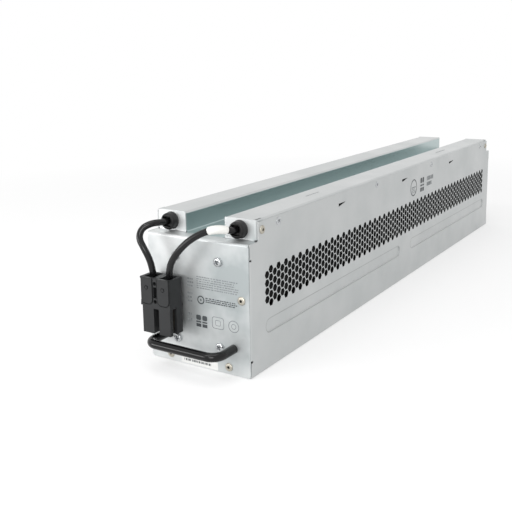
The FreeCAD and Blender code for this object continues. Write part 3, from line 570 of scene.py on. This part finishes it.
# Profiles of heads, as (radius, height) in millimetres above the sheet
RIVET_RISE = 1.1
RIVET_HEAD = [(0, 0), (3.3, 0), (3.3, 0.25), (3.12, 0.55), (2.6, 0.86), (1.9, 1.04), (1.4, 1.1),
              (1.18, 1.04), (1.12, 0.9), (1.1, 0.25)]
RIVET_MANDREL = [(1.1, 0.25), (0.7, 0.3), (0.35, 0.2), (0, 0.25)]
RIVET_WELD = 0.002 * MM
PAN_RISE = 2.3
PAN_HEAD = [(0, 0), (3.45, 0), (3.5, 0.2), (3.48, 1.0), (3.3, 1.55), (2.9, 1.95), (2.2, 2.16), (1.1, 2.26),
            (0, 2.3)]
FLAT_HEAD = [(0, -1.0), (1.5, -1.0), (2.78, -0.06), (3.2, 0.02), (3.2, 0.2), (2.75, 0.42), (0, 0.46)]
PAN_TURNS = (12, 40, 74, 28)
FLAT_TURNS = [11 + 37 * n for n in range(8)]
# A recess's cutter starts this high above its mouth and this much wider, and narrows to a share
RECESS_ABOVE = 0.4
RECESS_WIDER = 1.15
RECESS_NARROWER = 0.45
# How far a recess's dark walls and floor lie from the screw's axis, and the normals of its walls
RECESS_WALLS = 2.1 * MM
RECESS_FLOOR = 0.6 * MM
UPRIGHT = 0.99


def rivet_heads(name, away_of):
    """Domed heads, each with the bore that its mandrel broke off in."""
    work = bmesh.new()
    for at, away in outward_places(name, away_of, RIVET_RISE * MM):
        lathe(work, RIVET_HEAD, at, away)
        # The bore's floor is painted near black, as the shade down in the bore
        lathe(work, RIVET_MANDREL, at, away, finish=1)
    bmesh.ops.remove_doubles(work, verts=work.verts, dist=RIVET_WELD)
    piece = mesh_object(name + "_heads", work, "rivet_metal", rivet_aluminium, mandrel_painted_shade)
    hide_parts(name)


def cross_recess(half, wide, deep, top):
    """The cutter of a cross recess: two tapered bars that narrow towards its bottom."""
    work = bmesh.new()
    for long_x, long_y in ((half, wide), (wide, half)):
        slab(work, *(
            [work.verts.new(point(turn_x * long_x * share, turn_y * long_y * share, height))
             for turn_x, turn_y in ((-1, -1), (1, -1), (1, 1), (-1, 1))]
            for height, share in ((RECESS_ABOVE, RECESS_WIDER), (-deep, RECESS_NARROWER))
        ))
    bmesh.ops.recalc_face_normals(work, faces=work.faces)
    cutter = as_object("recess", work)
    cutter.location.z = top * MM
    return cutter


def screw_head(profile, recess, crown):
    """The mesh of one screw head with the cross recess cut into its crown."""
    work = bmesh.new()
    lathe(work, profile, Vector(), Vector((0, 0, 1)), steps=40)
    bmesh.ops.recalc_face_normals(work, faces=work.faces)
    blank = as_object("screw_blank", work)
    carve(blank, recess, crossing=True)
    head = blank.data
    bpy.data.objects.remove(blank)
    # Faces down in the recess take the painted shade
    for face in head.polygons:
        aside = face.center.xy.length
        wall = aside < RECESS_WALLS and face.normal.z < UPRIGHT
        face.material_index = int(face.center.z < crown * MM and (wall or aside < RECESS_FLOOR))
    return head


def screws(name, head, places, turns):
    """The heads of one kind, each turned by the degrees at which its driving stopped."""
    work = bmesh.new()
    for (at, away), turn in zip(places, turns):
        place = Matrix.Translation(at) @ facing(away) @ Matrix.Rotation(math.radians(turn), 4, "Z")
        before = len(work.verts)
        work.from_mesh(head)
        work.verts.ensure_lookup_table()
        bmesh.ops.transform(work, matrix=place, verts=work.verts[before:])
    piece = mesh_object(name + "_heads", work, "screw_steel", bright_zinc, recess_shade)
    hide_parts(name)


def pan_screws():
    head = screw_head(PAN_HEAD, cross_recess(2.0, 0.62, 1.5, top=2.1), crown=1.95)
    screws("panel_screws", head, outward_places("panel_screws", forwards, PAN_RISE * MM), PAN_TURNS)


def flat_screws():
    head = screw_head(FLAT_HEAD, cross_recess(1.6, 0.5, 0.8, top=0.4), crown=0.38)
    screws("cover_screws", head, outward_places("cover_screws", sideways, 0.0), FLAT_TURNS)


# The strain reliefs' heads, the mouths that the cables pass, and the seams above and below those,
# in millimetres
RELIEF_RISE = 6.4
RELIEF_PROFILE = [(0, -9.0), (5.8, -9.0), (5.9, 0.0), (7.0, 0.0), (7.05, 0.5), (6.95, 1.1), (6.62, 1.3),
                  (6.62, 4.4), (6.45, 5.3), (6.0, 6.0), (5.4, 6.4), (0, 6.4)]
MOUTH_WIDE = 7.4
MOUTH_TALL = 8.2
MOUTH_DEEP = 4
SEAM_REACH = 8
SEAM_DEEP = 0.9
SEAM_OFF = 0.9
SEAM_HALF = 0.18


def strain_relief(name):
    """A round snap-in head with a square mouth, and the seams of the wedge that grips the cable."""
    low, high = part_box(name)
    middle = (Vector(low) + Vector(high)) / (2 * MM)
    x, z = middle.x, middle.z
    face = low[1] / MM
    work = bmesh.new()
    lathe(work, RELIEF_PROFILE, point(x, face + RELIEF_RISE, z), Vector((0, -1, 0)), steps=48)
    bmesh.ops.recalc_face_normals(work, faces=work.faces)
    piece = as_object(name + "_moulding", work)
    half_wide, half_tall = MOUTH_WIDE / 2, MOUTH_TALL / 2
    carve(piece, box_cutter([((x - half_wide, face - CLEAR, z - half_tall),
                              (x + half_wide, face + MOUTH_DEEP, z + half_tall))]))
    carve(piece, box_cutter([((x - SEAM_REACH, face - CLEAR, z + up - SEAM_HALF),
                              (x + SEAM_REACH, face + SEAM_DEEP, z + up + SEAM_HALF))
                             for up in (-half_tall - SEAM_OFF, half_tall + SEAM_OFF)]))
    round_edges(piece, width=0.3, segments=2, degrees=50)
    soften(piece.data, RELIEF_SHARP)
    paint(piece, relief_nylon)
    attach(piece, "root")
    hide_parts(name)


# Folded sheets. Each latch slot is lanced: it tapers away to the rear, where its tab stays joined
SLOT_FRONTS = (-156.3, -11.3, 134.6)
SLOT_REARS = (-143.6, 2.9, 149.4)
SLOT_LOW = 105.7
SLOT_HIGH = 108.4
SLOT_TIP = 0.4
SLOT_REACH = 4
TAB_THICK = 0.8
# A face of a punched edge is smaller than this, stands across the wall, lies within this depth of
# the wall's outside and this distance of the middle of the case, and is above this height
PUNCHED = 8 * MM * MM
ACROSS = 0.1
PUNCHED_DEEP = 1.3
PUNCHED_REACH = 280
PUNCHED_LOW = 45
# Faces whose normals differ by more than this meet in a sharp edge
FOLD = math.cos(math.radians(32))
# The normal of a flat lies this near an axis
FLAT = 0.9999
# The beads' outlines on the walls, and the width of the line of painted shade round them
BEAD_SPANS = ((-278, -15), (15, 278))
BEAD_LOW = 29.2
BEAD_HIGH = 39.7
CREASE = 0.6


def fold_normals(data):
    """Gives each flat of a folded sheet its own normal, which the bends beside it run into."""
    around = [[] for _ in data.vertices]
    for face in data.polygons:
        face.use_smooth = True
        for vertex in face.vertices:
            around[vertex].append((face.normal.copy(), face.area))
    normals = []
    for face in data.polygons:
        for vertex in face.vertices:
            near = [(normal, area) for normal, area in around[vertex] if normal.dot(face.normal) > FOLD]
            flats = [normal for normal, area in near if max(abs(c) for c in normal) > FLAT]
            blend = sum((normal * area for normal, area in near), Vector()).normalized()
            normals.append(flats[0] if flats else blend)
    data.normals_split_custom_set(normals)


def lanced(name, finish):
    """A sheet part with its latch slots opened to the length that their lancing leaves."""
    sheet = as_object(name + "_sheet", welded(name, SHEET_WELD))
    boxes = []
    for front, rear in zip(SLOT_FRONTS, SLOT_REARS):
        for inner, outer in ((-WALL - CLEAR, SLOT_REACH - WALL), (WALL - SLOT_REACH, WALL + CLEAR)):
            boxes.append(((inner, front, SLOT_LOW), (outer, rear, SLOT_HIGH)))
    carve(sheet, box_cutter(boxes))
    fold_normals(sheet.data)
    paint(sheet, finish, sheared_edge_painted_shade)
    # The punched edges of the vents and slots take the bare steel, darkened with painted shade of the holes
    for face in sheet.data.polygons:
        x, y, z = (abs(c) / MM for c in face.center)
        in_wall = WALL - PUNCHED_DEEP < x < WALL and y < PUNCHED_REACH and z > PUNCHED_LOW
        face.material_index = int(in_wall and abs(face.normal.x) < ACROSS and face.area < PUNCHED)
    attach(sheet, "root")
    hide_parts(name)


def slot_corners():
    """A filled corner of each latch slot, below the line that its tab was lanced along."""
    work = bmesh.new()
    for turn in (-1, 1):
        for front, rear in zip(SLOT_FRONTS, SLOT_REARS):
            profile = ((front, SLOT_LOW), (rear, SLOT_LOW), (rear, SLOT_HIGH - SLOT_TIP))
            slab(work, *([work.verts.new(point(turn * out, along, up)) for along, up in profile]
                         for out in (WALL - TAB_THICK, WALL)))
    mesh_object("slot_corners", work, "zinc_steel", zinc_sheet)


def bead_outline(start, stop, grow):
    """The outline of a bead, with round ends, grown by a little."""
    radius = (BEAD_HIGH - BEAD_LOW) / 2
    middle = (BEAD_HIGH + BEAD_LOW) / 2
    return (arc((stop - radius, middle), radius + grow, -90, HALF_ROUND)
            + arc((start + radius, middle), radius + grow, 90, HALF_ROUND))


def bead_creases():
    """The pressed edge round each bead, with a thin line of painted shade a little darker than the zinc."""
    work = bmesh.new()
    for turn in (-1, 1):
        for start, stop in BEAD_SPANS:
            band(work, *([work.verts.new(point(turn * WALL, a, b) + Vector((turn * INK / 2, 0, 0)))
                          for a, b in bead_outline(start, stop, grow)] for grow in (0.0, CREASE)))
    mesh_object("bead_creases", work, "zinc_steel", bead_edge_painted_shade)


# The connector's grip pads and pole marks, in millimetres from its lower front left corner
PAD_LOW = 23.4
PAD_TOP = 46.0
PAD_WIDE = 10.9
PAD_INSET = 0.9
PAD_CORNER = 3.6
PAD_STEP = 0.8
MARK_UP = 36.0
MARK_OUTER = 1.75
MARK_INNER = 1.15
MARK_STEP = 0.2
# The grooves' depth, and how far they reach out of and into a grip pad's outline
GROOVE_DEEP = 0.75
GROOVE_OUT = 0.75
GROOVE_IN = 0.1
# The largest face of a rounded edge, and the turn below which two faces are one flat
SMALL_FACE = 0.6 * MM * MM
ONE_FLAT = math.radians(1)


def pad_outline(left, grow):
    """A grip pad's outline, open at the top edge, grown by a little."""
    right = left + PAD_WIDE + grow
    left -= grow
    bottom = PAD_LOW - grow
    radius = PAD_CORNER + grow
    corners = arc((left + radius, bottom + radius), radius, 180, QUARTER_ROUND)
    corners += arc((right - radius, bottom + radius), radius, 270, QUARTER_ROUND)
    return [(left, PAD_TOP)] + corners + [(right, PAD_TOP)]


def groove(work, outer, inner, corner, front):
    """A closed ring between two outlines, from in front of the face to the groove's floor."""
    outer_mouth, outer_floor, inner_mouth, inner_floor = (
        [work.verts.new(corner + point(x, depth, z)) for x, z in spots]
        for spots in (outer, inner) for depth in (-CLEAR, front + GROOVE_DEEP)
    )
    tube(work, [outer_mouth, outer_floor, inner_floor, inner_mouth])


def housing_grooves():
    """The cutter of the grooves round the grip pads, and of the ring round each pole's mark."""
    low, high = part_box("connector_housing")
    wide = (high[0] - low[0]) / MM
    corner = Vector(low)
    work = bmesh.new()
    for left in (PAD_INSET, wide - PAD_INSET - PAD_WIDE):
        groove(work, pad_outline(left, GROOVE_OUT), pad_outline(left, -GROOVE_IN), corner, PAD_STEP)
        mark = Vector((left + PAD_WIDE / 2, MARK_UP))
        outer, inner = ([mark + Vector(spot) * radius for spot in circle(24)]
                        for radius in (MARK_OUTER, MARK_INNER))
        groove(work, outer, inner, corner, MARK_STEP)
    bmesh.ops.recalc_face_normals(work, faces=work.faces)
    return as_object("grooves", work)


def connector_housing():
    """The CAD solid with its grooves, and the small radii that its mould gives its edges."""
    housing = as_object("connector_housing_moulding", welded("connector_housing", WELD))
    carve(housing, housing_grooves())
    work = bmesh.new()
    work.from_mesh(housing.data)
    bmesh.ops.dissolve_limit(work, angle_limit=ONE_FLAT, verts=work.verts, edges=work.edges)
    work.to_mesh(housing.data)
    work.free()
    round_edges(housing, width=0.22, segments=3, degrees=30)
    for face in housing.data.polygons:
        face.use_smooth = face.area < SMALL_FACE
    paint(housing, housing_polycarbonate)
    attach(housing, "root")
    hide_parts("connector_housing")
    return housing


# Print, in millimetres on the sheet: each place is lifted off it by the ink
def on_front(across, up):
    return point(across, FRONT, up) - Vector((0, INK, 0))


def on_side(along, up):
    return point(WALL, along, up) + Vector((INK, 0, 0))


def on_rail(along, across):
    return point(across, along, RAIL) + Vector((0, 0, INK))


# The strip's thickness, the widths of its bars and of the gaps between them, and where those lie
LABEL_THICK = Vector((0, 0.12 * MM, 0))
LABEL_BARS = (0.5, 0.8, 1.3)
LABEL_GAPS = (0.45, 0.6, 1.0)
LABEL_FIRST = -14.6
LABEL_LAST = 11.0
LABEL_LOW = 3.2
LABEL_HIGH = 5.0


def on_label(across, up):
    return on_front(across, up) - LABEL_THICK


def field(work, lift, corners):
    """A flat field of ink."""
    work.faces.new([work.verts.new(lift(a, b)) for a, b in corners])


def bar(work, lift, left, low, right, high):
    field(work, lift, [(left, low), (right, low), (right, high), (left, high)])


def ring(work, lift, middle, outer, inner, steps=40):
    """A flat ring of ink."""
    a, b = middle
    band(work, *([work.verts.new(lift(a + radius * x, b + radius * y)) for x, y in circle(steps)]
                 for radius in (inner, outer)))


# A row's share of bareness at its end, the lengths of its bars, and the gaps between them
RAGGED = 0.16
ROW_BARS = (0.8, 2.6)
ROW_GAPS = (0.35, 0.35, 0.9)


def rows(work, lift, left, right, low, high, count, seed, tall=0.48):
    """Rows of short bars, as a block of small print looks from a step away."""
    chance = random.Random(seed)
    pitch = (high - low) / count
    for index in range(count):
        top = high - index * pitch
        end = right - chance.uniform(0, RAGGED) * (right - left)
        at = left
        while at < end:
            stop = min(at + chance.uniform(*ROW_BARS), end)
            bar(work, lift, at, top - tall * pitch, stop, top)
            at = stop + chance.choice(ROW_GAPS)


def outline(work, lift, corners, wide):
    """A closed line of ink around a convex shape, as wide as its corners move inwards."""
    middle = Vector((sum(a for a, _ in corners), sum(b for _, b in corners))) / len(corners)
    inner = []
    for corner in corners:
        spot = Vector(corner)
        inner.append(spot + (middle - spot).normalized() * wide)
    band(work, *([work.verts.new(lift(a, b)) for a, b in spots] for spots in (corners, inner)))


def rounded_box(left, low, right, high, radius):
    """The outline of a box with rounded corners."""
    return (arc((right - radius, low + radius), radius, -90, QUARTER_ROUND)
            + arc((right - radius, high - radius), radius, 0, QUARTER_ROUND)
            + arc((left + radius, high - radius), radius, 90, QUARTER_ROUND)
            + arc((left + radius, low + radius), radius, 180, QUARTER_ROUND))


BLOCK_HALF = 2.3


def block(work, lift, middle, low, high, radius, bars):
    """A rounded box of ink with plain bars below it."""
    left, right = middle - BLOCK_HALF, middle + BLOCK_HALF
    field(work, lift, rounded_box(left, low, right, high, radius))
    for bottom, top in bars:
        bar(work, lift, left, bottom, right, top)


def front_print():
    """Plain fields in the places of the print on the front panel."""
    work = bmesh.new()
    rows(work, on_front, -0.6, 38.4, 63.0, 73.4, 6, seed=3)
    rows(work, on_front, -9.6, -3.6, 62.8, 71.0, 3, seed=8)
    rows(work, on_front, -9.6, -4.6, 50.4, 59.6, 3, seed=9)
    rows(work, on_front, -9.4, -5.8, 34.6, 43.2, 2, seed=12)
    outline(work, on_front, rounded_box(13.0, 34.4, 24.0, 43.9, 2.2), 0.588)
    outline(work, on_front, rounded_box(16.0, 36.8, 21.0, 41.4, 1.2), 0.504)
    outline(work, on_front, rounded_box(28.0, 34.2, 37.6, 43.6, 4.6), 0.588)
    outline(work, on_front, rounded_box(30.6, 36.8, 35.0, 41.0, 2.0), 0.504)
    mesh_object("front_print_fine", work, "relief_plastic", thin_ink)
    work = bmesh.new()
    rows(work, on_front, 7.4, 38.0, 53.0, 57.4, 3, seed=5, tall=0.56)
    ring(work, on_front, (3.0, 54.9), 3.4, 2.4)
    ring(work, on_front, (3.0, 54.9), 0.8, 0.3)
    for middle in (0.4, 6.2):
        block(work, on_front, middle, 38.6, 42.6, 1.2, ((36.6, 37.8), (33.2, 35.8)))
    mesh_object("front_print", work, "relief_plastic", print_ink)


def side_print():
    """A ring and plain bars on the right wall, and faint rows on the right rail."""
    work = bmesh.new()
    rows(work, on_side, 61.0, 81.0, 96.2, 101.2, 1, seed=21, tall=0.9)
    rows(work, on_side, 61.0, 79.0, 90.2, 94.8, 1, seed=22, tall=0.9)
    bar(work, on_side, 15.8, 94.4, 27.4, 95.6)
    rows(work, on_side, 16.4, 27.0, 88.4, 93.6, 3, seed=23)
    rows(work, on_rail, -188, -162, 30, 33, 1, seed=24, tall=0.4)
    rows(work, on_rail, 128, 160, 30, 34, 1, seed=25, tall=0.4)
    mesh_object("side_print_fine", work, "relief_plastic", thin_ink)
    work = bmesh.new()
    ring(work, on_side, (21.6, 94.7), 9.0, 7.9, steps=56)
    for along in (43.6, 49.6):
        block(work, on_side, along, 96.2, 102.2, 1.4, ((92.8, 94.8), (87.0, 91.4)))
    mesh_object("side_print", work, "relief_plastic", print_ink)


def front_label():
    """The white strip below the handle, with a row of dark bars."""
    corners = rounded_box(-17.5, 1.0, 17.5, 7.2, 0.5)
    work = bmesh.new()
    slab(work, *([work.verts.new(point(a, FRONT, b) - off) for a, b in corners]
                 for off in (Vector(), LABEL_THICK)))
    mesh_object("label_strip", work, "sleeve_white", label_film)
    work = bmesh.new()
    chance = random.Random(14)
    at = LABEL_FIRST
    while at < LABEL_LAST:
        wide = chance.choice(LABEL_BARS)
        bar(work, on_label, at, LABEL_LOW, at + wide, LABEL_HIGH)
        at += wide + chance.choice(LABEL_GAPS)
    mesh_object("label_bars", work, "relief_plastic", print_ink)


# The share of plain white in the floor near the case: the rest is lit, so it keeps the shadow
FLOOR_WHITE = 0.45
# The floor's half width, and the distances from its middle at which its white begins and is whole
FLOOR_REACH = 6.0
FADE_START = 0.45
FADE_END = 1.0
# How strongly the room lights the case
ROOM_LIGHT = 0.75
LAMPS = (
    # Name, place, the place that it faces, size, power
    ("overhead", (0.1, -0.5, 1.7), (0.0, 0.0, 0.0), (1.2, 1.2), 7),
    ("front_left", (-1.0, -1.5, 0.3), (0.0, -0.3, 0.03), (0.9, 0.4), 7),
    ("front_right", (0.55, -1.6, 0.5), (0.0, -0.3, 0.05), (0.7, 0.5), 7),
    ("strip", (-0.2, -1.2, 1.2), (0.0, -0.3, 0.05), (0.9, 0.08), 4),
)


def seen_ray(tree):
    """One on rays from the camera and in reflections, and nought on those that light the case."""
    rays = add(tree, "ShaderNodeLightPath")
    return add(tree, "ShaderNodeMath", {0: rays.outputs["Is Camera Ray"], 1: rays.outputs["Is Glossy Ray"]},
               operation="MAXIMUM").outputs[0]


def light_room():
    """A room that lights the case, and looks white to the camera and in reflections."""
    world = bpy.data.worlds.new("studio")
    world.use_nodes = True
    scene.world = world
    tree = world.node_tree
    tree.nodes.clear()
    room = add(tree, "ShaderNodeBackground", inputs={"Color": "#FFFFFF", "Strength": ROOM_LIGHT})
    white = add(tree, "ShaderNodeBackground", inputs={"Color": "#FFFFFF", "Strength": 1.0})
    both = add(tree, "ShaderNodeMixShader", {0: seen_ray(tree), 1: room.outputs[0], 2: white.outputs[0]})
    add(tree, "ShaderNodeOutputWorld", {"Surface": both.outputs[0]})


def lay_floor():
    """A pale floor that keeps the case's shadow and fades to plain white away from it."""
    data = bpy.data.meshes.new("floor")
    corners = [(x * FLOOR_REACH, y * FLOOR_REACH, 0) for x, y in ((-1, -1), (1, -1), (1, 1), (-1, 1))]
    data.from_pydata(corners, [], [(0, 1, 2, 3)])
    floor = in_scene("floor", data)
    paper, tree, shader = material("floor_paper", Base_Color="#F6F6F6", Roughness=0.9)
    place = add(tree, "ShaderNodeTexCoord").outputs["Object"]
    away = add(tree, "ShaderNodeVectorMath", {0: place}, operation="LENGTH")
    fade = add(tree, "ShaderNodeMapRange", {"Value": away.outputs["Value"]},
               inputs={"From Min": FADE_START, "From Max": FADE_END, "To Min": FLOOR_WHITE, "To Max": 1.0})
    share = add(tree, "ShaderNodeMath", {0: seen_ray(tree), 1: fade.outputs["Result"]},
                operation="MULTIPLY")
    white = add(tree, "ShaderNodeEmission", inputs={"Color": "#FFFFFF", "Strength": 1.0})
    both = add(tree, "ShaderNodeMixShader",
               {0: share.outputs[0], 1: shader.outputs[0], 2: white.outputs[0]})
    tree.links.new(both.outputs[0], tree.nodes["Material Output"].inputs["Surface"])
    paint(floor, paper)


def hang_lamps():
    """Soft lamps, which light the case and show only in reflections."""
    for name, at, toward, size, power in LAMPS:
        data = bpy.data.lights.new(name, "AREA")
        data.shape = "RECTANGLE"
        data.size, data.size_y = size
        data.energy = power
        obj = in_scene(name, data)
        obj.location = at
        obj.rotation_euler = (Vector(toward) - Vector(at)).to_track_quat("-Z", "Y").to_euler()
        obj.visible_camera = False


scene.view_settings.view_transform = "Standard"
stand_camera()
light_room()
lay_floor()
hang_lamps()
finish_nodes()
cables = lay_cables()
sleeve = marker_sleeve()
for relief in ("left_strain_relief", "right_strain_relief"):
    strain_relief(relief)
lanced("chassis", zinc_sheet)
lanced("cover", cover_sheet)
slot_corners()
bead_creases()
housing = connector_housing()
for rivets, away_of in (("front_rivets", forwards), ("rear_rivets", backwards), ("rail_rivets", sideways)):
    rivet_heads(rivets, away_of)
pan_screws()
flat_screws()
front_print()
side_print()
front_label()
